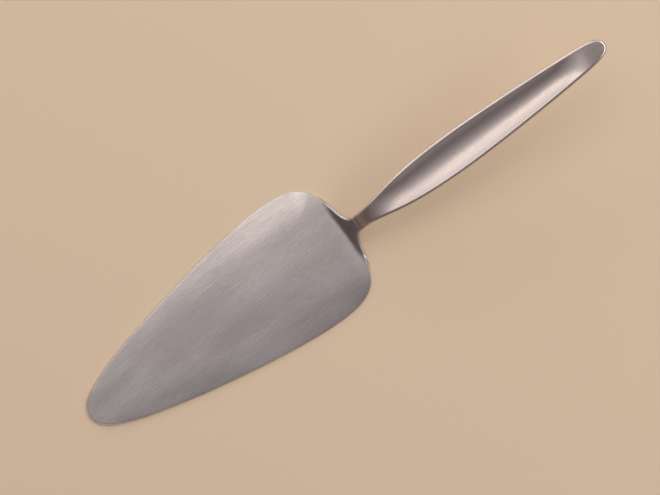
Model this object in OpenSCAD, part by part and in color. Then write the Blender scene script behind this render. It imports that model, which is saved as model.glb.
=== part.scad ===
// Cake server: a flat pressed blade, cranked up at its heel and brazed to a forged handle.
// Millimetres. X runs from the blade's tip to the end of the handle, Z is up, and the blade
// lies on the XY plane. The origin is under the middle of the whole length.

/* [Blade] */
// Length of the flat blade, from its tip to the bend
blade_len = 130; // [115:1:145]
// Greatest width of the blade
blade_w = 58; // [48:1:66]
// Thickness of the blade's sheet
blade_t = 1.4; // [1.2:0.1:1.8]
// Length of the rounded nose at the tip
nose_len = 14; // [11:0.5:17]
// Width of the blade where the nose ends
nose_w = 23.6; // [20:0.2:27]
// Angle between each side and the centre line where the nose ends
nose_angle = 22.7; // [18:0.5:27]
// Distance from the widest point forward of the bend
wide_gap = 22; // [16:1:30]
// Width of the softened edge along the sides
edge_w = 1.2; // [0.8:0.1:1.4]
// Width of the softened edge round the tip
tip_edge_w = 2; // [1.2:0.1:2.4]

/* [Heel and neck] */
// Distance from the bend back to the heel, where the trailing edges turn into the neck
heel_run = 1; // [0.8:0.1:2]
// Width of the heel between the two rounded corners
heel_w = 31; // [26:0.5:34]
// Lean of the trailing edges at the heel
heel_lean = 10; // [4:1:14]
// Distance from the bend back to the seam, seen from above
neck_run = 6.4; // [5.8:0.2:8]
// Radius of the bend, on the upper face
bend_r = 2; // [1.5:0.1:2.4]
// Slope of the riser between the bend and the seam
riser_angle = 55; // [45:1:60]
// Width of the neck at the seam
neck_w = 6.5; // [6:0.1:8]
// Radius of the neck's rounded sides
neck_r = 1.2; // [1.1:0.1:1.3]
// Angle at which the neck's belly leaves its rounded sides
neck_belly = 25; // [20:1:32]

/* [Handle] */
// Length of the handle, seen from above
handle_run = 120.2; // [105:1:135]
// Greatest width of the handle
handle_w = 16.2; // [13:0.2:19]
// Distance from the seam to the widest point of the handle
handle_belly_run = 50; // [42:1:58]
// Width of the handle where its rounded end begins
tail_w = 11.2; // [9.5:0.1:12.5]
// Length of the rounded end
tail_len = 16; // [13:0.5:19]
// Radius of the rounded rim all round the handle
rim_r = 1; // [0.8:0.05:1.2]
// Steepest slope of the hollowed upper face, at its sides
trough_angle = 26; // [10:1:30]
// Steepest slope of the convex back, at its sides
back_angle = 36; // [30:1:42]
// Distance from the seam over which the hollow deepens
trough_start_run = 26; // [20:1:40]
// Distance over which the hollow fades out before the pad
trough_end_run = 17; // [12:1:24]
// Length of the flat pad at the handle's end
pad_len = 8; // [4:1:12]
// Rise of the handle towards its end
handle_rise = 10; // [6:0.5:13]
// Distance over which the neck eases from the riser's slope into the handle's
neck_ease = 5; // [4:0.5:7]
// Drop of the handle's end below its straight rise
end_droop = 3; // [0:0.5:4]

/* [Brazed joint] */
// Width of the tongue on the blade's heel
tongue_w = 3.6; // [2.8:0.1:4]
// Thickness of the tongue
tongue_t = 1.1; // [0.9:0.1:1.2]
// Length of the tongue inside the handle
tongue_len = 3.6; // [2.5:0.1:4]
// Thickness of the brazing metal round the tongue and between the end faces
braze_gap = 0.1; // [0.06:0.02:0.14]
// Width of the bead that shows round the neck
bead_w = 1; // [0.6:0.05:1.1]
// Height of the bead above the neck
bead_h = 0.2; // [0.15:0.05:0.3]

/* [Hidden] */

steel = "#b4aeb0";
handle_steel = "#a8a2a3";
braze_metal = "#b3a68c";

// Steps along the parts of the outline, round the rim and across each half of a face
nose_steps = 14;
side_steps = 18;
corner_steps = 15;
flare_steps = 12;
neck_steps = 24;
tail_steps = 18;
end_steps = 16;
rim_steps = 9;
top_rim_steps = 5;
face_steps = 4;
bead_steps = 6;

// Places along X, counted from the tip
bend_x = blade_len;
wide_x = bend_x - wide_gap;
heel_x = bend_x + heel_run;
seam_x = bend_x + neck_run;
belly_x = seam_x + handle_belly_run;
end_x = seam_x + handle_run;
tail_x = end_x - tail_len;

// Small sizes of the sheet's edge: its lower corner radius and its upright land
corner_r = 0.2;
edge_land = 0.25;
edge_h = blade_t - corner_r - edge_land;

// The riser and the straight stretch of the neck on both sides of the seam
bend_end_x = bend_x + bend_r * sin(riser_angle);
bend_end_z = blade_t + bend_r * (1 - cos(riser_angle));
straight_run = 0.6;
ease_x = seam_x + straight_run;
ease_z = bend_end_z + (ease_x - bend_end_x) * tan(riser_angle);
rise_slope = tan(handle_rise);
ease_slope = tan(riser_angle) - rise_slope;
droop_x = (belly_x + ease_x) / 2;
droop_rate = end_droop / pow(end_x - droop_x, 2);

// The neck's depth at the seam, the end face's setback in plan, and the tongue's middle
neck_y = neck_w / 2 - neck_r + neck_r * sin(neck_belly);
neck_t = neck_r * (1 + cos(neck_belly)) + neck_y * tan(neck_belly / 2);
face_gap = 2 * braze_gap;
setback = face_gap / 2 * cos(riser_angle);
tongue_n = -neck_t / 2 - 0.15;
bead_clear = 0.015;

// Length of the whole, with the roll of its rim over the sloping end
end_slope = atan(rise_slope - 2 * droop_rate * (end_x - droop_x));
overall_len = end_x + rim_r * sin(end_slope);

// A smooth step from 0 to 1
function ease(t) = let (c = min(1, max(0, t))) c * c * (3 - 2 * c);

// Point and direction on a cubic curve through four control points
function curve_at(p, t) =
    pow(1 - t, 3) * p[0] + 3 * pow(1 - t, 2) * t * p[1] + 3 * (1 - t) * t * t * p[2] + pow(t, 3) * p[3];
function curve_dir(p, t) =
    let (d = pow(1 - t, 2) * (p[1] - p[0]) + 2 * (1 - t) * t * (p[2] - p[1]) + t * t * (p[3] - p[2]))
    d / norm(d);

// Outline stations on a curve: place in plan and outward direction, from step first to the last
function stations(p, steps, first = 1) = [
    for (i = [first:steps])
        let (q = curve_at(p, i / steps), d = curve_dir(p, i / steps))
        [q.x, q.y, -d.y, d.x]
];

// Half of the blade's outline in plan: nose, side, rounded corner and the flare into the neck
function heading(angle, reach) = reach * [cos(angle), sin(angle)];
nose_end = [nose_len, nose_w / 2];
wide_point = [wide_x, blade_w / 2];
heel_point = [heel_x, heel_w / 2];
blade_end = [seam_x - setback, neck_w / 2];
nose_curve = [[0, 0], [0, nose_w * 0.3], nose_end - heading(nose_angle, nose_len * 0.37), nose_end];
side_curve = [nose_end, nose_end + heading(nose_angle, 13), wide_point - [27, 0], wide_point];
corner_curve = [
    wide_point,
    wide_point + [heel_x - wide_x, 0] * 0.36,
    heel_point + heading(90 + heel_lean, (blade_w - heel_w) * 0.49),
    heel_point
];
flare_curve = [
    heel_point,
    heel_point - heading(90 + heel_lean, heel_w * 0.25),
    blade_end - [neck_run * 0.5, 0],
    blade_end
];
blade_outline = concat(
    stations(nose_curve, nose_steps, 0),
    stations(side_curve, side_steps),
    stations(corner_curve, corner_steps),
    stations(flare_curve, flare_steps)
);

// Half of the handle's outline in plan: neck to widest point, taper, and rounded end
tail_angle = 4.5;
handle_start = [seam_x + setback, neck_w / 2];
belly_point = [belly_x, handle_w / 2];
tail_point = [tail_x, tail_w / 2];
swell_curve = [
    handle_start,
    handle_start + [handle_belly_run * 0.25, 0],
    belly_point - [handle_belly_run * 0.68, 0],
    belly_point
];
taper_curve = [belly_point, belly_point + [14, 0], tail_point + heading(180 - tail_angle, 14), tail_point];
end_curve = [
    tail_point,
    tail_point + heading(-tail_angle, tail_len * 0.7),
    [end_x, tail_w * 0.36],
    [end_x, 0]
];
handle_outline = concat(
    stations(swell_curve, neck_steps, 0),
    stations(taper_curve, tail_steps),
    stations(end_curve, end_steps)
);

// Slope and height of the upper face along the blade, the riser and the handle
function slope_at(x) =
    x <= bend_x ? 0
    : x < bend_end_x ? asin((x - bend_x) / bend_r)
    : x <= ease_x ? riser_angle
    : atan(
        rise_slope + ease_slope * exp((ease_x - x) / neck_ease)
        - 2 * droop_rate * max(0, x - droop_x)
    );
function height_at(x) =
    x <= bend_x ? blade_t
    : x < bend_end_x ? blade_t + bend_r * (1 - cos(slope_at(x)))
    : x <= ease_x ? bend_end_z + (x - bend_end_x) * tan(riser_angle)
    : ease_z + rise_slope * (x - ease_x)
        + ease_slope * neck_ease * (1 - exp((ease_x - x) / neck_ease))
        - droop_rate * pow(max(0, x - droop_x), 2);

// A point in plan with a height n above the upper face, measured square to that face
function placed(p) = let (a = slope_at(p.x)) [p.x - p.z * sin(a), p.y, height_at(p.x) + p.z * cos(a)];

// Rims are lists of [inset from the outline, height], from the upper face round to the lower one
function sheet_rim(width) = [
    for (k = [0:rim_steps])
        let (
            a = k <= top_rim_steps
                ? 90 * (1 - k / top_rim_steps)
                : -90 * (k - top_rim_steps - 1) / (rim_steps - top_rim_steps - 1)
        )
        k <= top_rim_steps
            ? [width * (1 - cos(a)), edge_h * (sin(a) - 1)]
            : [corner_r * (1 - cos(a)), corner_r * (1 + sin(a)) - blade_t]
];
function round_rim(r, top_angle, back_angle) = [
    for (k = [0:rim_steps])
        let (a = 90 + top_angle - (180 + top_angle - back_angle) * k / rim_steps)
        [r * (1 - cos(a)), r * (sin(a) - 1)]
];

// Sag of an arc that meets the rim at an angle, at a fraction f of its half width
function sag(half_w, angle, f) =
    angle < 0.01 ? 0 : half_w / sin(angle) * (cos(asin(f * sin(angle))) - cos(angle));

// One closed section from the middle of the upper face round the rim and back along the other side
function section(s, rim, top_angle, back_angle) =
    let (
        ring = [for (r = rim) [s[0] - r[0] * s[2], s[1] - r[0] * s[3], r[1]]],
        top = ring[0],
        low = ring[len(ring) - 1],
        half = concat(
            [for (k = [0:face_steps - 1])
                let (f = k / face_steps)
                [top.x, top.y * f, top.z - sag(top.y, top_angle, f)]],
            ring,
            [for (k = [face_steps - 1:-1:0])
                let (f = k / face_steps)
                [low.x, low.y * f, low.z - sag(low.y, back_angle, f)]]
        )
    )
    concat(half, [for (k = [len(half) - 2:-1:1]) [half[k].x, -half[k].y, half[k].z]]);

// The blade's section changes from the thin sheet to the thick neck along the riser
function blade_section(s) =
    let (
        w = ease((s[0] - bend_end_x) / (blade_end.x - bend_end_x)),
        width = edge_w + (tip_edge_w - edge_w) * (1 - ease(s[0] / (2 * nose_len))),
        rim = (1 - w) * sheet_rim(width) + w * round_rim(neck_r, 0, neck_belly)
    )
    section(s, rim, 0, neck_belly * w);

// The handle's hollow and back deepen behind the neck and flatten again at the end
function handle_section(s) =
    let (
        w = ease((s[0] - handle_start.x) / trough_start_run),
        fade = ease((end_x - pad_len - s[0]) / trough_end_run),
        r = neck_r + (rim_r - neck_r) * w,
        top = trough_angle * w * fade,
        back = (neck_belly + (back_angle - neck_belly) * w) * ease((end_x - s[0]) / tail_len)
    )
    section(s, round_rim(r, top, back), top, back);

// The neck's section at the seam, swollen outwards by a distance
function neck_section(swell) =
    let (
        s = [0, neck_w / 2 + swell, 0, 1],
        loop = section(s, round_rim(neck_r + swell, 0, neck_belly), 0, neck_belly)
    )
    [for (p = loop) p + [0, 0, swell]];

// Faces between two triangles' corners, left out where corners coincide
function triangle(a, b, c) = a == b || b == c || c == a ? [] : [[a, b, c]];

// Faces of an end section: columns between its faces, and a fan inside each rounded side
function end_faces(count) =
    let (
        last = count / 2,
        columns = [for (k = [0:face_steps - 1]) [k, k + 1, last - 1 - k, last - k]],
        side = [for (j = [face_steps:last - face_steps]) j],
        halves = concat(columns, [side])
    )
    concat(halves, [for (h = halves) [for (k = [len(h) - 1:-1:0]) (count - h[k]) % count]]);

// A solid through a row of sections. A pointed end closes on itself, the other ends are flat
module loft(sections, pointed_first = false, pointed_last = false) {
    last = len(sections) - 1;
    count = len(sections[0]);
    // Index of a corner, folded onto one side where the section has closed to a line
    function corner(i, j) =
        let (k = j % count, folded = (i == 0 && pointed_first) || (i == last && pointed_last))
        i * count + (folded ? min(k, count - k) : k);
    skin = [
        for (i = [0:last - 1], j = [0:count - 1])
            let (a = corner(i, j), b = corner(i, j + 1), c = corner(i + 1, j + 1), d = corner(i + 1, j))
            each (j < count / 2
                ? concat(triangle(a, b, c), triangle(a, c, d))
                : concat(triangle(a, b, d), triangle(b, c, d)))
    ];
    flat_first = pointed_first ? [] : [
        for (f = end_faces(count)) [for (k = [len(f) - 1:-1:0]) f[k]]
    ];
    flat_last = pointed_last ? [] : [
        for (f = end_faces(count)) [for (j = f) last * count + j]
    ];
    polyhedron([for (s = sections) each s], concat(skin, flat_first, flat_last));
}

// Puts a shape drawn at the seam, with X along the neck and Z square to its upper face, in place
module at_seam() {
    translate([seam_x, 0, bend_end_z + (seam_x - bend_end_x) * tan(riser_angle)])
        rotate([0, -riser_angle, 0])
            children();
}

// A block round the tongue's middle, grown by a clearance and reaching from one place to another
module tongue_block(from, to, clearance = 0) {
    translate([from, -tongue_w / 2 - clearance, tongue_n - tongue_t / 2 - clearance])
        cube([to - from, tongue_w + 2 * clearance, tongue_t + 2 * clearance]);
}

// A prism of the neck's section between two places along the neck
module neck_prism(from, to, swell) {
    translate([from, 0, 0])
        rotate([90, 0, 90])
            linear_extrude(to - from)
                polygon([for (p = neck_section(swell)) [p.y, p.z]]);
}

// The tongue stands on the heel's end face and goes into the handle
module blade() {
    color(steel) translate([-overall_len / 2, 0, 0]) union() {
        loft([for (s = blade_outline) [for (p = blade_section(s)) placed(p)]], pointed_first = true);
        at_seam() tongue_block(-face_gap / 2 - 1, tongue_len);
    }
}

// The socket in the neck leaves room for brazing metal round the tongue
module handle() {
    color(handle_steel) translate([-overall_len / 2, 0, 0]) difference() {
        loft([for (s = handle_outline) [for (p = handle_section(s)) placed(p)]], pointed_last = true);
        at_seam() tongue_block(-1, tongue_len + braze_gap, braze_gap);
    }
}

// Brazing metal fills the gap between the end faces and round the tongue, and stands proud as a bead
module braze_seam() {
    bead = [
        for (i = [0:bead_steps])
            let (a = 15 + 150 * i / bead_steps)
            [for (p = neck_section(bead_h * sin(a))) p - [bead_w / 2 * cos(a), 0, 0]]
    ];
    color(braze_metal) translate([-overall_len / 2, 0, 0]) at_seam() difference() {
        union() {
            difference() {
                loft(bead);
                neck_prism(-bead_w, -face_gap / 2, bead_clear);
                neck_prism(face_gap / 2, bead_w, bead_clear);
            }
            tongue_block(0, tongue_len + braze_gap, braze_gap);
        }
        tongue_block(-bead_w, tongue_len);
    }
}

blade();
handle();
braze_seam();
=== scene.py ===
"""A brushed steel cake server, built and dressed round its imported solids.

The blade, the handle and the brazed seam between them are lofted as smooth meshes from the
same sizes as the solids that they replace, and finished with procedural steel.
"""

from __future__ import annotations

import logging
import math
from dataclasses import dataclass, field
from enum import Enum
from typing import Any

import bmesh
import bpy
import numpy as np
from mathutils import Matrix, Vector


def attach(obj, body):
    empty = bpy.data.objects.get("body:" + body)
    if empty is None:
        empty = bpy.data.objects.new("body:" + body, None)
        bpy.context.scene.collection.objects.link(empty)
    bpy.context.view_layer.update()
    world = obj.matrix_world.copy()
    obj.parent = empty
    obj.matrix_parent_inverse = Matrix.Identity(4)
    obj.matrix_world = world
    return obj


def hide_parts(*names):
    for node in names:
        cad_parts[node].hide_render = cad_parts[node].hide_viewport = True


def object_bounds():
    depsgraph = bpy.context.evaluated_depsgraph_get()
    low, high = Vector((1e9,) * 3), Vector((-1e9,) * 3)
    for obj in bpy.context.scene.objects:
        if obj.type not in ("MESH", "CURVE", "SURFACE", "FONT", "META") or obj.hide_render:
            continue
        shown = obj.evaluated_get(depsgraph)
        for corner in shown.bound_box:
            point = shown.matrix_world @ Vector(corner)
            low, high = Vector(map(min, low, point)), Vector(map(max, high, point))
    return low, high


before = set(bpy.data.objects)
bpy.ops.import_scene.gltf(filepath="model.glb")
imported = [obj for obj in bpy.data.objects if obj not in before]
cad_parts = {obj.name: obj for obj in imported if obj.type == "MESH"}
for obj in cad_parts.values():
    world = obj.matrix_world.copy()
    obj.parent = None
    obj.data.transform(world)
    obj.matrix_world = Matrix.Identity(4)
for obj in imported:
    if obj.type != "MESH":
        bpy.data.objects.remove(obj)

CAD_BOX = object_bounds()
MM = 0.001
# The seam's place along X in metres, and the distances from it where the duller steel fades
SEAM_X = 0.0083
DULL_RANGE = (0.003, 0.014)
# Grain of the steel along X, Y and Z in metres, and the height of its relief
HAIR = (4e-3, 0.2e-3, 0.2e-3)
STRAND = (20e-3, 0.7e-3, 0.7e-3)
CLOUD = (45e-3, 16e-3, 16e-3)
RELIEF = 0.02 * MM
# A texture space this far away points the shading's tangent along Y all over a piece
FAR_ALONG_X = (-50.0, 0.0, 0.0)
FLOOR_HALF = 3.0
FLOOR_DROP = 0.00002

log = logging.getLogger("cake_server")


class Slot(Enum):
    """The record's material slots, one for each piece."""

    BLADE = "blade_steel"
    HANDLE = "handle_steel"
    BRAZE = "braze_metal"


class Value:
    """A node's output socket that numbers and other sockets can be worked with."""

    def __init__(self, shader: Shader, socket: bpy.types.NodeSocket) -> None:
        """Keep the socket and the node tree that holds it."""
        self.shader = shader
        self.socket = socket

    def _math(self, operation: str, first: Any, second: Any) -> Value:
        """Add a Math node and return its result."""
        return self.shader.node("ShaderNodeMath", {"operation": operation}, {0: first, 1: second})

    def __add__(self, other: Any) -> Value:
        """Return self + other."""
        return self._math("ADD", self, other)

    def __sub__(self, other: Any) -> Value:
        """Return self - other."""
        return self._math("SUBTRACT", self, other)

    def __rsub__(self, other: Any) -> Value:
        """Return other - self."""
        return self._math("SUBTRACT", other, self)

    def __mul__(self, other: Any) -> Value:
        """Return self * other."""
        return self._math("MULTIPLY", self, other)

    def smooth(self, low: float, high: float) -> Value:
        """Return a smooth step from 0 at low to 1 at high."""
        return self.shader.node(
            "ShaderNodeMapRange",
            {"interpolation_type": "SMOOTHSTEP"},
            {"Value": self, "From Min": low, "From Max": high},
        )


class Shader:
    """A node tree that is written as expressions."""

    def __init__(self, tree: bpy.types.NodeTree) -> None:
        """Start from an empty tree."""
        self.tree = tree
        tree.nodes.clear()

    def node(
        self,
        kind: str,
        settings: dict[str, Any] | None = None,
        inputs: dict[str | int, Any] | None = None,
        output: str | int = 0,
    ) -> Value:
        """Add a node.

        Args:
            kind: The node's type, such as ShaderNodeMath.
            settings: Properties of the node, set before its sockets are read.
            inputs: Values or links of its sockets, by name or place.
            output: The output socket to return.

        Returns:
            That output, wrapped.
        """
        made = self.tree.nodes.new(kind)
        for name, value in (settings or {}).items():
            setattr(made, name, value)
        for name, value in (inputs or {}).items():
            if isinstance(value, Value):
                self.tree.links.new(value.socket, made.inputs[name])
            else:
                made.inputs[name].default_value = value
        return Value(self, made.outputs[output]) if made.outputs else Value(self, None)

    def mix(self, factor: Any, first: Any, second: Any) -> Value:
        """Blend two colours.

        Args:
            factor: 0 for the first colour, 1 for the second.
            first: A colour as three numbers, or a socket.
            second: A colour as three numbers, or a socket.

        Returns:
            The blended colour.
        """
        made = self.tree.nodes.new("ShaderNodeMix")
        made.data_type = "RGBA"
        factor_in, first_in, second_in = made.inputs[0], made.inputs[6], made.inputs[7]
        for socket, value in ((factor_in, factor), (first_in, first), (second_in, second)):
            if isinstance(value, Value):
                self.tree.links.new(value.socket, socket)
            elif socket is factor_in:
                socket.default_value = value
            else:
                socket.default_value = (*value, 1.0)
        return Value(self, made.outputs[2])

    def stretched_noise(
        self, lengths: tuple[float, float, float], detail: float, seed: float
    ) -> Value:
        """Return noise whose grain has a length along each axis.

        Args:
            lengths: Grain size along X, Y and Z in metres.
            detail: Octaves of finer noise.
            seed: Moves the noise to another place.

        Returns:
            The noise as a number, mostly between 0.2 and 0.8.
        """
        place = self.node("ShaderNodeTexCoord", output="Object")
        grain = self.node(
            "ShaderNodeMapping",
            {"vector_type": "POINT"},
            {
                "Vector": place,
                "Location": (seed, seed, seed),
                "Scale": tuple(1.0 / size for size in lengths),
            },
        )
        return self.node(
            "ShaderNodeTexNoise",
            {"noise_dimensions": "3D"},
            {"Vector": grain, "Scale": 1.0, "Detail": detail, "Roughness": 0.6},
        )


@dataclass(frozen=True)
class BrushedSteel:
    """Steel brushed along the object's length.

    Attributes:
        slot: The record's material slot.
        tint: Colour of the lighter streaks.
        worn_tint: Colour of the darker streaks.
        roughness: Mean roughness.
        anisotropy: How much wider highlights are across the brushing.
        streak: Contrast of the streaks' colour.
        bump: Strength of their relief.
        seed: Place in the noise.
        dull: Roughness added round the seam.
    """

    slot: Slot
    tint: tuple[float, float, float]
    worn_tint: tuple[float, float, float]
    roughness: float
    anisotropy: float
    streak: float
    bump: float
    seed: float
    dull: float = 0.14

    def material(self) -> bpy.types.Material:
        """Build the material.

        Returns:
            A material whose colour, gloss and relief vary in streaks along X.
        """
        made = bpy.data.materials.new(self.slot.value)
        made.use_nodes = True
        shader = Shader(made.node_tree)
        hair = shader.stretched_noise(HAIR, 3.0, self.seed)
        strand = shader.stretched_noise(STRAND, 2.0, self.seed + 7.0)
        cloud = shader.stretched_noise(CLOUD, 2.0, self.seed + 13.0)
        brushed = hair * 0.7 + strand * 0.3
        tone = (brushed - 0.5) * self.streak + (cloud - 0.5) * 1.5 + 0.5
        colour = shader.mix(tone.smooth(0.0, 1.0), self.worn_tint, self.tint)
        place = shader.node("ShaderNodeTexCoord", output="Object")
        along = shader.node("ShaderNodeSeparateXYZ", None, {0: place}, output="X")
        near = shader.node("ShaderNodeMath", {"operation": "ABSOLUTE"}, {0: along - SEAM_X})
        dull = 1.0 - near.smooth(*DULL_RANGE)
        gloss = (0.5 - strand) * 0.10 + (0.5 - cloud) * 0.06 + dull * self.dull + self.roughness
        relief = shader.node(
            "ShaderNodeBump",
            None,
            {"Strength": self.bump, "Distance": RELIEF, "Height": brushed},
        )
        steel = shader.node(
            "ShaderNodeBsdfPrincipled",
            {"distribution": "GGX"},
            {
                "Base Color": colour,
                "Metallic": 1.0,
                "Roughness": gloss,
                "Anisotropic": self.anisotropy,
                "Normal": relief,
            },
        )
        shader.node("ShaderNodeOutputMaterial", None, {"Surface": steel})
        return made


def ease(t: np.ndarray) -> np.ndarray:
    """Return a smooth step from 0 to 1."""
    clipped = np.clip(t, 0.0, 1.0)
    return clipped * clipped * (3.0 - 2.0 * clipped)


def heading(angle: float, reach: float) -> np.ndarray:
    """Return a step of a length in a direction given in degrees."""
    return reach * np.array([math.cos(math.radians(angle)), math.sin(math.radians(angle))])


def stations(points: list, steps: int, first: int = 1) -> np.ndarray:
    """Walk along a cubic curve in plan.

    Args:
        points: Its four control points.
        steps: Steps along it.
        first: The step to begin at, so that joined curves don't repeat a point.

    Returns:
        Rows of x, y and the outward direction's x, y.
    """
    p = np.array(points, dtype=float)
    t = (np.arange(first, steps + 1) / steps)[:, None]
    place = (
        (1 - t) ** 3 * p[0]
        + 3 * (1 - t) ** 2 * t * p[1]
        + 3 * (1 - t) * t**2 * p[2]
        + t**3 * p[3]
    )
    way = (
        (1 - t) ** 2 * (p[1] - p[0])
        + 2 * (1 - t) * t * (p[2] - p[1])
        + t**2 * (p[3] - p[2])
    )
    way /= np.linalg.norm(way, axis=1, keepdims=True)
    return np.hstack([place, -way[:, 1:2], way[:, 0:1]])


def arc_sag(half_width: np.ndarray, angle: np.ndarray, share: np.ndarray) -> np.ndarray:
    """Return the depth of arcs that leave a rim at an angle.

    Args:
        half_width: Half the arc's width, one for each station.
        angle: Its slope at the rim in radians, one for each station.
        share: Places across the half width, 0 in the middle and 1 at the rim.

    Returns:
        One row for each station and one column for each share.
    """
    slope = np.maximum(angle, 1e-5)[:, None]
    radius = half_width[:, None] / np.sin(slope)
    return radius * (np.cos(np.arcsin(share[None, :] * np.sin(slope))) - np.cos(slope))


def sections(
    outline: np.ndarray,
    inset: np.ndarray,
    height: np.ndarray,
    top_angle: np.ndarray,
    back_angle: np.ndarray,
    face_steps: int,
) -> np.ndarray:
    """Close a section round each station of half an outline.

    Args:
        outline: Stations as rows of x, y and outward direction.
        inset: Distances in from the outline round the rim, a row for each station.
        height: Heights round the rim, a row for each station.
        top_angle: Slope of the hollowed upper face at the rim, in radians.
        back_angle: Slope of the convex lower face at the rim, in radians.
        face_steps: Steps across half a face.

    Returns:
        An array of stations by corners by x, y and height.
    """
    rim = np.stack(
        [
            outline[:, 0:1] - inset * outline[:, 2:3],
            outline[:, 1:2] - inset * outline[:, 3:4],
            height,
        ],
        axis=2,
    )
    share = np.sin(np.arange(face_steps) / face_steps * math.pi / 2)
    top, low = rim[:, 0], rim[:, -1]

    def face(edge: np.ndarray, angle: np.ndarray) -> np.ndarray:
        """Return points from the middle of a face out to its rim."""
        return np.stack(
            [
                np.repeat(edge[:, 0:1], face_steps, axis=1),
                edge[:, 1:2] * share[None, :],
                edge[:, 2:3] - arc_sag(edge[:, 1], angle, share),
            ],
            axis=2,
        )

    half = np.concatenate([face(top, top_angle), rim, face(low, back_angle)[:, ::-1]], axis=1)
    other = half[:, -2:0:-1] * np.array([1.0, -1.0, 1.0])
    return np.concatenate([half, other], axis=1)


@dataclass(frozen=True)
class Sizes:
    """The server's driving sizes in millimetres, counted along X from the blade's tip."""

    blade_len: float = 130.0
    blade_w: float = 58.0
    blade_t: float = 1.4
    heel_run: float = 1.0
    neck_run: float = 6.4
    bend_r: float = 2.0
    riser_angle: float = 55.0
    neck_w: float = 6.5
    neck_r: float = 1.2
    neck_belly: float = 25.0
    handle_run: float = 120.2
    handle_belly_run: float = 50.0
    handle_rise: float = 10.0
    neck_ease: float = 5.0
    end_droop: float = 3.0
    straight_run: float = 0.6
    face_gap: float = 0.2

    @property
    def seam_x(self) -> float:
        """The seam's place."""
        return self.blade_len + self.neck_run

    @property
    def end_x(self) -> float:
        """The handle's end."""
        return self.seam_x + self.handle_run

    @property
    def setback(self) -> float:
        """How far each end face stands back from the seam, seen from above."""
        return self.face_gap / 2 * math.cos(math.radians(self.riser_angle))


@dataclass(frozen=True)
class Spine:
    """The side view of the upper face: flat blade, bend, riser, neck and rising handle."""

    sizes: Sizes
    tip_x: float

    @property
    def bend_end(self) -> tuple[float, float]:
        """Place and height where the bend has reached the riser's slope."""
        s, a = self.sizes, math.radians(self.sizes.riser_angle)
        return s.blade_len + s.bend_r * math.sin(a), s.blade_t + s.bend_r * (1 - math.cos(a))

    @property
    def ease_start(self) -> tuple[float, float]:
        """Place and height where the neck begins to ease into the handle."""
        s = self.sizes
        x, z = self.bend_end
        start = s.seam_x + s.straight_run
        return start, z + (start - x) * math.tan(math.radians(s.riser_angle))

    @property
    def droop(self) -> tuple[float, float]:
        """Place where the droop begins, and its rate."""
        s = self.sizes
        start = (s.seam_x + s.handle_belly_run + self.ease_start[0]) / 2
        return start, s.end_droop / (s.end_x - start) ** 2

    def slope(self, x: np.ndarray) -> np.ndarray:
        """Return the slope at places along X, in radians."""
        s = self.sizes
        start, rate = self.droop
        riser = math.radians(s.riser_angle)
        rise = math.tan(math.radians(s.handle_rise))
        bend = np.arcsin(np.clip((x - s.blade_len) / s.bend_r, 0.0, math.sin(riser)))
        easing = np.exp(-np.maximum(0.0, x - self.ease_start[0]) / s.neck_ease)
        handle = rise + (math.tan(riser) - rise) * easing - 2 * rate * np.maximum(0.0, x - start)
        return np.where(x <= self.ease_start[0], bend, np.arctan(handle))

    def height(self, x: np.ndarray) -> np.ndarray:
        """Return the height of the upper face at places along X."""
        s = self.sizes
        start, rate = self.droop
        bend_x, bend_z = self.bend_end
        ease_x, ease_z = self.ease_start
        riser = math.tan(math.radians(s.riser_angle))
        rise = math.tan(math.radians(s.handle_rise))
        bend = s.blade_t + s.bend_r * (1 - np.cos(self.slope(np.minimum(x, bend_x))))
        straight = bend_z + (x - bend_x) * riser
        past = np.maximum(0.0, x - ease_x)
        handle = (
            ease_z
            + rise * past
            + (riser - rise) * s.neck_ease * (1 - np.exp(-past / s.neck_ease))
            - rate * np.maximum(0.0, x - start) ** 2
        )
        return np.where(x <= bend_x, bend, np.where(x <= ease_x, straight, handle))

    def placed(self, loops: np.ndarray) -> np.ndarray:
        """Bend sections drawn flat onto the spine.

        Args:
            loops: Corners as x, y and height square to the upper face.

        Returns:
            The corners in the frame, in millimetres.
        """
        x, y, n = loops[..., 0], loops[..., 1], loops[..., 2]
        slope = self.slope(x)
        return np.stack(
            [x - n * np.sin(slope) + self.tip_x, y, self.height(x) + n * np.cos(slope)], axis=-1
        )

    def at_seam(self) -> Matrix:
        """Return the place of the seam, in metres, with X along the neck and Z off its upper face."""
        s = self.sizes
        x = np.array([s.seam_x])
        place = Vector(((s.seam_x + self.tip_x) * MM, 0.0, float(self.height(x)[0]) * MM))
        return Matrix.Translation(place) @ Matrix.Rotation(-math.radians(s.riser_angle), 4, "Y")


def round_rim(
    radius: np.ndarray, top_angle: np.ndarray, back_angle: np.ndarray, steps: int
) -> tuple[np.ndarray, np.ndarray]:
    """Round a rim from a hollowed upper face to a convex lower one.

    Args:
        radius: The rim's radius at each station.
        top_angle: Slope of the upper face at the rim, in radians.
        back_angle: Slope of the lower face at the rim, in radians.
        steps: Steps round the rim.

    Returns:
        Insets and heights, each a row for each station.
    """
    share = np.arange(steps + 1)[None, :] / steps
    turn = math.pi / 2 + top_angle[:, None] - (math.pi + top_angle - back_angle)[:, None] * share
    return radius[:, None] * (1 - np.cos(turn)), radius[:, None] * (np.sin(turn) - 1)


def show(name: str, data: Any) -> bpy.types.Object:
    """Put a mesh, a light or a camera into the scene as an object."""
    made = bpy.data.objects.new(name, data)
    bpy.context.collection.objects.link(made)
    return made


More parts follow.
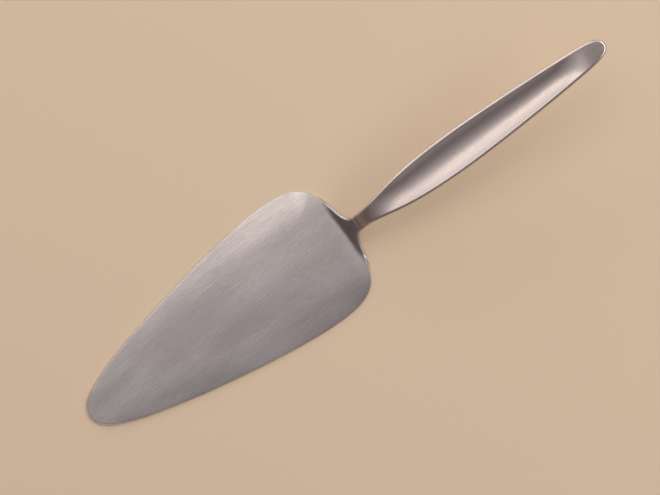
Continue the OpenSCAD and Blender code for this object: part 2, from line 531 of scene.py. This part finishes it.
def loft(name: str, loops: np.ndarray, sharp: float = 40.0) -> bpy.types.Object:
    """Skin a row of sections as one closed, smooth mesh.

    Args:
        name: The new object's name.
        loops: Sections by corners by coordinates, in millimetres. A section that has
            closed to a line makes a pointed end, the others are capped flat.
        sharp: Edges sharper than this stay sharp, in degrees.

    Returns:
        The object.
    """
    rows, count = loops.shape[:2]
    mesh = bpy.data.meshes.new(name)
    shape = bmesh.new()
    grid = [[shape.verts.new(Vector(p) * MM) for p in loop.tolist()] for loop in loops]
    for i in range(rows - 1):
        for j in range(count):
            k = (j + 1) % count
            shape.faces.new((grid[i][j], grid[i + 1][j], grid[i + 1][k], grid[i][k]))
    for loop in (grid[0][::-1], grid[-1]):
        if np.ptp([v.co.y for v in loop]) > 1e-6:
            shape.faces.new(loop[::-1])
    bmesh.ops.remove_doubles(shape, verts=shape.verts, dist=1e-8)
    bmesh.ops.dissolve_degenerate(shape, edges=shape.edges, dist=1e-8)
    bmesh.ops.recalc_face_normals(shape, faces=shape.faces)
    for face in shape.faces:
        face.smooth = True
    shape.to_mesh(mesh)
    shape.free()
    mesh.set_sharp_from_angle(angle=math.radians(sharp))
    return show(name, mesh)


def block(name: str, low: tuple, high: tuple, place: Matrix) -> bpy.types.Object:
    """Make a box between two corners in millimetres, moved by a matrix."""
    mesh = bpy.data.meshes.new(name)
    shape = bmesh.new()
    bmesh.ops.create_cube(shape, size=1.0)
    for vertex in shape.verts:
        sides = zip(vertex.co, low, high)
        vertex.co = place @ Vector([MM * (top if c > 0 else base) for c, base, top in sides])
    shape.to_mesh(mesh)
    shape.free()
    return show(name, mesh)


def combine(target: bpy.types.Object, tool: bpy.types.Object, operation: str) -> None:
    """Join a tool's shape to a target or cut it away, and remove the tool.

    Args:
        target: The object whose mesh is replaced by the result.
        tool: The other shape.
        operation: UNION or DIFFERENCE.
    """
    step = target.modifiers.new(tool.name, "BOOLEAN")
    step.operation = operation
    step.solver = "EXACT"
    step.object = tool
    graph = bpy.context.evaluated_depsgraph_get()
    result = bpy.data.meshes.new_from_object(target.evaluated_get(graph))
    target.modifiers.clear()
    old = target.data
    target.data = result
    bpy.data.meshes.remove(old)
    bpy.data.objects.remove(tool)


def brush_along_x(piece: bpy.types.Object) -> None:
    """Point the anisotropic shading's tangent across the brushing.

    The shader turns its tangent round the middle of the mesh's texture space, so a texture
    space far away along X gives one direction, along Y, all over the piece.
    """
    mesh = piece.data
    mesh.use_auto_texspace = False
    mesh.texspace_location = FAR_ALONG_X
    mesh.texspace_size = (1.0, 1.0, 1.0)


def settle(piece: bpy.types.Object, node: str, finish: BrushedSteel) -> None:
    """Dress a piece and put it in the place of its solid.

    Args:
        piece: The new mesh.
        node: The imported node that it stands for.
        finish: Its steel.
    """
    brush_along_x(piece)
    piece.data.materials.clear()
    piece.data.materials.append(finish.material())
    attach(piece, "root")
    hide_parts(node)
    log.info("%s: %d faces, %s", piece.name, len(piece.data.polygons), finish.slot.value)


@dataclass
class Tongue:
    """The tongue that locates the blade's heel in the handle, in millimetres."""

    width: float = 3.6
    thickness: float = 1.1
    length: float = 3.6
    middle: float = -1.57
    clearance: float = 0.1

    def block(
        self, name: str, start: float, end: float, grown: float, place: Matrix
    ) -> bpy.types.Object:
        """Make a block round the tongue's middle.

        Args:
            name: The block's name.
            start: Where it starts along the neck.
            end: Where it ends.
            grown: How much larger than the tongue it is, on every side.
            place: The seam's place.

        Returns:
            The block.
        """
        half_w = self.width / 2 + grown
        half_t = self.thickness / 2 + grown
        low = (start, -half_w, self.middle - half_t)
        high = (end, half_w, self.middle + half_t)
        return block(name, low, high, place)


@dataclass
class Blade:
    """The pressed blade, its riser and the front half of the neck.

    Lengths are in millimetres and angles in degrees. Each roll is how far in the upper face
    starts to fall towards the edge and how deep it falls, along the sides and at the corners.
    """

    spine: Spine
    tongue: Tongue
    nose_len: float = 14.0
    nose_w: float = 23.6
    nose_angle: float = 22.7
    wide_gap: float = 22.0
    edge_r: float = 0.3
    edge_slope: float = 56.0
    tip_edge_slope: float = 50.0
    heel_edge_slope: float = 76.0
    heel_w: float = 31.0
    heel_lean: float = 10.0
    corner_r: float = 0.2
    edge_land: float = 0.25
    crown_radius: float = 1000.0
    side_roll: tuple[float, float] = (11.0, 0.36)
    corner_roll: tuple[float, float] = (12.0, 0.62)
    corner_from: float = 80.0
    corner_blend: float = 25.0
    finish: BrushedSteel = field(
        default_factory=lambda: BrushedSteel(
            slot=Slot.BLADE,
            tint=(0.8, 0.75, 0.76),
            worn_tint=(0.58, 0.535, 0.54),
            roughness=0.28,
            anisotropy=0.55,
            streak=1.9,
            bump=0.07,
            seed=3.0,
        )
    )

    def outline(self) -> np.ndarray:
        """Return stations along half the outline, from the tip to the seam."""
        s = self.spine.sizes
        nose = np.array([self.nose_len, self.nose_w / 2])
        wide = np.array([s.blade_len - self.wide_gap, s.blade_w / 2])
        heel = np.array([s.blade_len + s.heel_run, self.heel_w / 2])
        end = np.array([s.seam_x - s.setback, s.neck_w / 2])
        return np.vstack(
            [
                stations(
                    [
                        (0, 0),
                        (0, self.nose_w * 0.3),
                        nose - heading(self.nose_angle, self.nose_len * 0.37),
                        nose,
                    ],
                    48,
                    0,
                ),
                stations([nose, nose + heading(self.nose_angle, 13), wide - (27, 0), wide], 64),
                stations(
                    [
                        wide,
                        wide + ((heel[0] - wide[0]) * 0.36, 0),
                        heel + heading(90 + self.heel_lean, (s.blade_w - self.heel_w) * 0.49),
                        heel,
                    ],
                    56,
                ),
                stations(
                    [
                        heel,
                        heel - heading(90 + self.heel_lean, self.heel_w * 0.25),
                        end - (s.neck_run * 0.5, 0),
                        end,
                    ],
                    40,
                ),
            ]
        )

    def roll_off(self, outline: np.ndarray) -> tuple[np.ndarray, np.ndarray]:
        """Return how far in the face rolls off towards the edge at each station, and how deep."""
        x, back = outline[:, 0], outline[:, 2]
        wide = ease((x - self.corner_from) / self.corner_blend)
        fades = (1 - ease((back - 0.35) / 0.6)) * ease(x / self.nose_len)
        fades = fades * (1 - ease((x - self.spine.sizes.blade_len + 3) / 3))
        run = self.side_roll[0] + (self.corner_roll[0] - self.side_roll[0]) * wide
        depth = self.side_roll[1] + (self.corner_roll[1] - self.side_roll[1]) * wide
        return run * (0.35 + 0.65 * ease(x / (2 * self.nose_len))), depth * fades

    def rim(self, outline: np.ndarray) -> tuple[np.ndarray, np.ndarray]:
        """Round the sheet's edge, and turn it into the neck's rounded side along the riser.

        Args:
            outline: The stations.

        Returns:
            Insets and heights, each a row for each station.
        """
        s = self.spine.sizes
        x = outline[:, 0]
        roll_steps, top_steps, low_steps = 9, 12, 5
        ones = np.ones_like(x)[:, None]
        at_tip = 1 - ease(x / (2 * self.nose_len))
        slope = self.edge_slope + (self.tip_edge_slope - self.edge_slope) * at_tip
        facing_back = ease((outline[:, 2] - 0.3) / 0.5) * (x > self.corner_from)
        trailing = np.maximum.accumulate(facing_back)
        slope = np.radians(slope + (self.heel_edge_slope - slope) * trailing)[:, None]
        run, depth = (value[:, None] for value in self.roll_off(outline))
        drop = s.blade_t - self.corner_r - self.edge_land - depth
        low = np.linspace(0, -math.pi / 2, low_steps + 1)
        turn = slope * np.linspace(0, 1, top_steps // 2 + 1)[None, :]
        bend_out, bend_down = self.edge_r * np.sin(turn), self.edge_r * (1 - np.cos(turn))
        left = np.maximum(drop - bend_down[:, -1:], 0.02)
        flat = np.linspace(0, 1, top_steps // 2 + 1)[None, 1:] * left
        out = np.hstack([bend_out, bend_out[:, -1:] + flat / np.tan(slope)])
        down = np.hstack([bend_down, bend_down[:, -1:] + flat])
        width = out[:, -1:]
        inner = width + run * np.linspace(1, 0, roll_steps, endpoint=False)
        upper = np.hstack([inner, width - out])
        roll = -depth * np.clip(1 - upper / (width + run), 0, 1) ** 2
        upper_height = roll - np.hstack([0 * inner, down])
        inset = np.hstack([upper, ones * self.corner_r * (1 - np.cos(low))])
        height = np.hstack([upper_height, ones * (self.corner_r * (1 + np.sin(low)) - s.blade_t)])
        neck = round_rim(
            np.full_like(x, s.neck_r),
            np.zeros_like(x),
            np.full_like(x, math.radians(s.neck_belly)),
            top_steps + low_steps + 1,
        )
        neck_flat = s.neck_r * np.linspace(2, 1, roll_steps, endpoint=False)
        neck_inset = np.hstack([ones * neck_flat, neck[0]])
        neck_height = np.hstack([ones * neck_flat * 0, neck[1]])
        w = self.thickening(x)[:, None]
        return (1 - w) * inset + w * neck_inset, (1 - w) * height + w * neck_height

    def crown(self, loops: np.ndarray) -> None:
        """Lower the upper face slightly towards the sides, and leave the lower face flat."""
        x, y, n = loops[..., 0], loops[..., 1], loops[..., 2]
        share = np.clip(1 + n / self.spine.sizes.blade_t, 0, 1) * (1 - self.thickening(x))
        loops[..., 2] -= share * y**2 / (2 * self.crown_radius)

    def thickening(self, x: np.ndarray) -> np.ndarray:
        """Return 0 on the sheet and 1 at the neck."""
        start = self.spine.bend_end[0]
        end = self.spine.sizes.seam_x - self.spine.sizes.setback
        return ease((x - start) / (end - start))

    def build(self) -> bpy.types.Object:
        """Loft the blade and add its tongue."""
        outline = self.outline()
        x = outline[:, 0]
        belly = math.radians(self.spine.sizes.neck_belly) * self.thickening(x)
        loops = sections(outline, *self.rim(outline), np.zeros_like(x), belly, face_steps=16)
        self.crown(loops)
        piece = loft("cake_blade", self.spine.placed(loops))
        start = -self.spine.sizes.face_gap / 2 - 1
        tongue = self.tongue.block("tongue", start, self.tongue.length, 0.0, self.spine.at_seam())
        combine(piece, tongue, "UNION")
        return piece

    def dress(self, piece: bpy.types.Object) -> None:
        """Finish the blade in brushed steel."""
        settle(piece, "blade", self.finish)


@dataclass
class Handle:
    """The forged handle with its hollowed upper face and rounded rim.

    Lengths are in millimetres and angles in degrees. The hollow ends pad_len before the end,
    and the last nod_len bends down by nod.
    """

    spine: Spine
    tongue: Tongue
    width: float = 16.2
    tail_w: float = 11.2
    tail_len: float = 16.0
    tail_angle: float = 4.5
    rim_r: float = 1.0
    trough_angle: float = 26.0
    back_angle: float = 36.0
    trough_start_run: float = 26.0
    trough_end_run: float = 17.0
    pad_len: float = 8.0
    nod_len: float = 13.0
    nod: float = 1.2
    finish: BrushedSteel = field(
        default_factory=lambda: BrushedSteel(
            slot=Slot.HANDLE,
            tint=(0.8, 0.72, 0.71),
            worn_tint=(0.67, 0.595, 0.58),
            roughness=0.27,
            anisotropy=0.5,
            streak=0.7,
            bump=0.05,
            seed=29.0,
        )
    )

    def outline(self) -> np.ndarray:
        """Return stations along half the outline, from the seam to the end."""
        s = self.spine.sizes
        start = np.array([s.seam_x + s.setback, s.neck_w / 2])
        widest = np.array([s.seam_x + s.handle_belly_run, self.width / 2])
        tail = np.array([s.end_x - self.tail_len, self.tail_w / 2])
        return np.vstack(
            [
                stations(
                    [
                        start,
                        start + (s.handle_belly_run * 0.25, 0),
                        widest - (s.handle_belly_run * 0.68, 0),
                        widest,
                    ],
                    90,
                    0,
                ),
                stations(
                    [
                        widest,
                        widest + (14, 0),
                        tail + heading(180 - self.tail_angle, 14),
                        tail,
                    ],
                    60,
                ),
                stations(
                    [
                        tail,
                        tail + heading(-self.tail_angle, self.tail_len * 0.7),
                        (s.end_x, self.tail_w * 0.36),
                        (s.end_x, 0),
                    ],
                    48,
                ),
            ]
        )

    def build(self) -> bpy.types.Object:
        """Loft the handle and cut the tongue's socket."""
        s = self.spine.sizes
        outline = self.outline()
        x = outline[:, 0]
        behind = ease((x - x[0]) / self.trough_start_run)
        ahead = ease((s.end_x - self.pad_len - x) / self.trough_end_run)
        top = math.radians(self.trough_angle) * behind * ahead
        back = np.radians(s.neck_belly + (self.back_angle - s.neck_belly) * behind)
        back = back * ease((s.end_x - x) / self.tail_len)
        radius = s.neck_r + (self.rim_r - s.neck_r) * behind
        loops = sections(outline, *round_rim(radius, top, back, 18), top, back, face_steps=14)
        past = np.maximum(0.0, loops[..., 0] - s.end_x + self.nod_len)
        loops[..., 2] -= self.nod * (past / self.nod_len) ** 2
        piece = loft("handle_bar", self.spine.placed(loops))
        tongue = self.tongue
        end = tongue.length + tongue.clearance
        socket = tongue.block("socket", -1.0, end, tongue.clearance, self.spine.at_seam())
        combine(piece, socket, "DIFFERENCE")
        return piece

    def dress(self, piece: bpy.types.Object) -> None:
        """Finish the handle in brushed steel."""
        settle(piece, "handle", self.finish)


@dataclass
class BrazeSeam:
    """The brazing metal between blade and handle, with its bead round the neck."""

    spine: Spine
    tongue: Tongue
    bead_w: float = 1.0
    bead_h: float = 0.12
    finish: BrushedSteel = field(
        default_factory=lambda: BrushedSteel(
            slot=Slot.BRAZE,
            tint=(0.86, 0.79, 0.7),
            worn_tint=(0.74, 0.68, 0.6),
            roughness=0.45,
            anisotropy=0.2,
            streak=0.5,
            bump=0.1,
            seed=51.0,
            dull=0.0,
        )
    )

    def build(self) -> bpy.types.Object:
        """Loft the bead through the swollen sections of the neck."""
        s = self.spine.sizes
        turn = np.linspace(0, math.pi, 17)
        swell = self.bead_h * np.sin(turn)
        outline = np.stack(
            [np.zeros_like(turn), s.neck_w / 2 + swell, np.zeros_like(turn), np.ones_like(turn)],
            axis=1,
        )
        belly = np.full_like(turn, math.radians(s.neck_belly))
        flat = np.zeros_like(turn)
        rim = round_rim(s.neck_r + swell, flat, belly, 18)
        loops = sections(outline, *rim, flat, belly, face_steps=8)
        loops[..., 2] += swell[:, None]
        loops[..., 0] = -self.bead_w / 2 * np.cos(turn)[:, None]
        piece = loft("braze_bead", loops, sharp=75.0)
        piece.data.transform(self.spine.at_seam())
        return piece

    def dress(self, piece: bpy.types.Object) -> None:
        """Finish the bead in brazing metal."""
        settle(piece, "braze_seam", self.finish)


@dataclass
class Studio:
    """Floor, light and camera, looking straight down on the server."""

    view_turn: float = 36.0
    view_height: float = 0.6
    view_centre: tuple[float, float] = (-0.0062, -0.00145)
    mm_per_pixel: float = 0.4155
    photo_w: int = 660
    floor_colour: tuple[float, float, float] = (0.99, 0.81, 0.605)
    dome_dark: tuple[float, float, float] = (0.1, 0.078, 0.07)
    dome_light: tuple[float, float, float] = (0.62, 0.6, 0.61)
    flag_way: tuple[float, float, float] = (0.27, -0.05, 0.962)

    def floor(self) -> None:
        """Lay a plain pale floor."""
        mesh = bpy.data.meshes.new("floor")
        shape = bmesh.new()
        bmesh.ops.create_grid(shape, x_segments=1, y_segments=1, size=FLOOR_HALF)
        shape.to_mesh(mesh)
        shape.free()
        made = show("floor", mesh)
        made.location.z = -FLOOR_DROP
        paint = bpy.data.materials.new("floor_paper")
        paint.use_nodes = True
        shader = Shader(paint.node_tree)
        paper = shader.node(
            "ShaderNodeBsdfPrincipled",
            None,
            {"Base Color": (*self.floor_colour, 1.0), "Roughness": 0.85, "Specular IOR Level": 0.15},
        )
        shader.node("ShaderNodeOutputMaterial", None, {"Surface": paper})
        mesh.materials.append(paint)

    def softbox(
        self,
        name: str,
        turn: float,
        zenith: float,
        distance: float,
        size: tuple[float, float],
        glow: float,
        colour: tuple[float, float, float],
    ) -> None:
        """Hang a soft area light that faces the server.

        Args:
            name: The light's name.
            turn: Its direction round Z in degrees, from +X towards +Y.
            zenith: Its angle from straight above in degrees.
            distance: Its distance in metres.
            size: Its width and height in metres.
            glow: How bright its face looks, where 1 is white.
            colour: Its colour.
        """
        lamp = bpy.data.lights.new(name, "AREA")
        lamp.shape = "RECTANGLE"
        lamp.size, lamp.size_y = size
        lamp.energy = glow * math.pi * size[0] * size[1]
        lamp.color = colour
        made = show(name, lamp)
        out = math.sin(math.radians(zenith))
        way = Vector(
            (
                out * math.cos(math.radians(turn)),
                out * math.sin(math.radians(turn)),
                math.cos(math.radians(zenith)),
            )
        )
        made.location = way * distance
        made.rotation_euler = way.to_track_quat("Z", "Y").to_euler()

    def dome(self) -> None:
        """Fill the room with soft light.

        It is paler on the blade's upper side in the photo, has a dim flag near the zenith and
        a pale ring round it, and fades towards the blade's tip.
        """
        world = bpy.data.worlds.new("dome")
        bpy.context.scene.world = world
        world.use_nodes = True
        shader = Shader(world.node_tree)
        way = shader.node("ShaderNodeTexCoord", output="Generated")
        up = shader.node("ShaderNodeSeparateXYZ", None, {0: way}, output="Z")
        side = shader.node("ShaderNodeSeparateXYZ", None, {0: way}, output="Y")
        along = shader.node("ShaderNodeSeparateXYZ", None, {0: way}, output="X")
        lit = (side * 1.4 + up * 0.35).smooth(-0.6, 1.05)
        flag = shader.node(
            "ShaderNodeVectorMath", {"operation": "DOT_PRODUCT"}, {0: way, 1: self.flag_way}, 1
        )
        ring = up.smooth(0.35, 0.62) * (1.0 - up.smooth(0.65, 0.85)) * 0.45
        level = (lit * (1.0 - flag.smooth(0.94, 1.0) * 0.8) + ring) * along.smooth(-0.85, -0.15)
        light = shader.mix(level, self.dome_dark, self.dome_light)
        glow = shader.node("ShaderNodeBackground", None, {"Color": light, "Strength": 1.0})
        shader.node("ShaderNodeOutputWorld", None, {"Surface": glow})

    def lights(self) -> None:
        """Hang the lights."""
        self.dome()
        self.softbox("key", 82.0, 31.0, 1.0, (0.95, 0.42), 0.6, (1.0, 0.85, 0.69))
        self.softbox("side", 95.0, 72.0, 1.3, (1.8, 0.5), 1.3, (1.0, 0.93, 0.84))
        self.softbox("fill", -15.0, 48.0, 1.3, (1.2, 0.6), 2.0, (1.0, 0.94, 0.87))
        self.softbox("spot", 93.0, 16.5, 1.0, (0.26, 0.16), 1.3, (1.0, 0.88, 0.74))

    def camera(self) -> None:
        """Point the camera straight down, turned so that the server rises to the right."""
        data = bpy.data.cameras.new("camera")
        data.sensor_fit = "HORIZONTAL"
        data.sensor_width = 36.0
        data.lens = data.sensor_width * self.view_height / (self.photo_w * self.mm_per_pixel * MM)
        data.clip_start = 0.01
        made = show("camera", data)
        made.location = (*self.view_centre, self.view_height)
        made.rotation_euler = (0.0, 0.0, -math.radians(self.view_turn))
        bpy.context.scene.camera = made

    def build(self) -> None:
        """Set the stage."""
        self.floor()
        self.lights()
        self.camera()
        bpy.context.scene.view_settings.view_transform = "Standard"


def main() -> None:
    """Build the server's pieces in order and set the stage."""
    logging.basicConfig(level=logging.INFO, format="%(name)s: %(message)s")
    tip_x = float(CAD_BOX[0][0]) / MM
    spine = Spine(Sizes(), tip_x)
    tongue = Tongue()
    for part in (Blade(spine, tongue), Handle(spine, tongue), BrazeSeam(spine, tongue)):
        piece = part.build()
        part.dress(piece)
    Studio().build()


if __name__ == "__main__":
    main()
